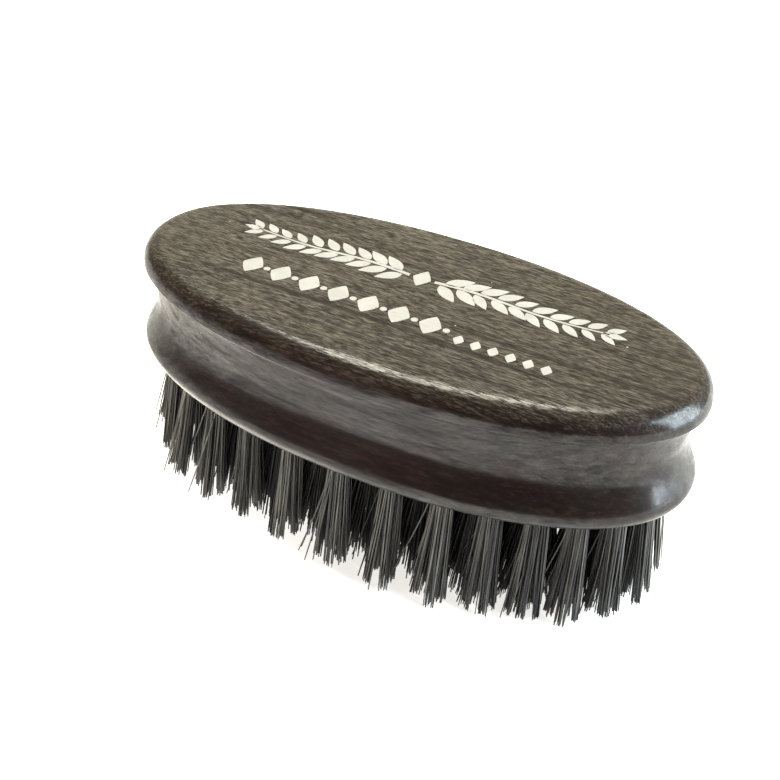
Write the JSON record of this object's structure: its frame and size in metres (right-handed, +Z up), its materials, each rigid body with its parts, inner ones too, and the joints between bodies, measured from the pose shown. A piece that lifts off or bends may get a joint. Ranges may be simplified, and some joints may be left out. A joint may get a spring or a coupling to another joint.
{
  "type": "beard brush",
  "caption": "Oval palm-held beard brush: a routed wooden block with a finger groove, over tufts of stiff bristle that fan outwards and stand on their trimmed tips.",
  "frame": {"origin": "on the surface that the brush stands on, level with the trimmed bristle tips, under the middle of the block", "axes": "+X along the block's long axis, +Y across it, +Z up through the flat top"},
  "size_m": [0.1186, 0.0554, 0.0494],
  "materials": {
    "stained_wood": "dark-stained beech under a satin clear finish",
    "bristle": "stiff dark grey filament with a dull sheen",
    "anchor_wire": "flat galvanised anchor wire",
    "print_ink": "pad-printed ivory ink"
  },
  "bodies": {
    "root": {"brush_block": "stained_wood", "tuft_outer_01": "bristle", "tuft_outer_02": "bristle", "tuft_outer_03": "bristle", "tuft_outer_04": "bristle", "tuft_outer_05": "bristle", "tuft_outer_06": "bristle", "tuft_outer_07": "bristle", "tuft_outer_08": "bristle", "tuft_outer_09": "bristle", "tuft_outer_10": "bristle", "tuft_outer_11": "bristle", "tuft_outer_12": "bristle", "tuft_outer_13": "bristle", "tuft_outer_14": "bristle", "tuft_outer_15": "bristle", "tuft_outer_16": "bristle", "tuft_outer_17": "bristle", "tuft_outer_18": "bristle", "tuft_outer_19": "bristle", "tuft_outer_20": "bristle", "tuft_outer_21": "bristle", "tuft_outer_22": "bristle", "tuft_outer_23": "bristle", "tuft_outer_24": "bristle", "tuft_outer_25": "bristle", "tuft_outer_26": "bristle", "tuft_outer_27": "bristle", "tuft_outer_28": "bristle", "tuft_middle_01": "bristle", "tuft_middle_02": "bristle", "tuft_middle_03": "bristle", "tuft_middle_04": "bristle", "tuft_middle_05": "bristle", "tuft_middle_06": "bristle", "tuft_middle_07": "bristle", "tuft_middle_08": "bristle", "tuft_middle_09": "bristle", "tuft_middle_10": "bristle", "tuft_middle_11": "bristle", "tuft_middle_12": "bristle", "tuft_middle_13": "bristle", "tuft_middle_14": "bristle", "tuft_middle_15": "bristle", "tuft_middle_16": "bristle", "tuft_middle_17": "bristle", "tuft_middle_18": "bristle", "tuft_middle_19": "bristle", "tuft_centre_01": "bristle", "tuft_centre_02": "bristle", "tuft_centre_03": "bristle", "tuft_centre_04": "bristle", "tuft_centre_05": "bristle", "tuft_centre_06": "bristle", "tuft_centre_07": "bristle", "tuft_centre_08": "bristle", "tuft_centre_09": "bristle", "tuft_centre_10": "bristle"}
  },
  "joints": []
}
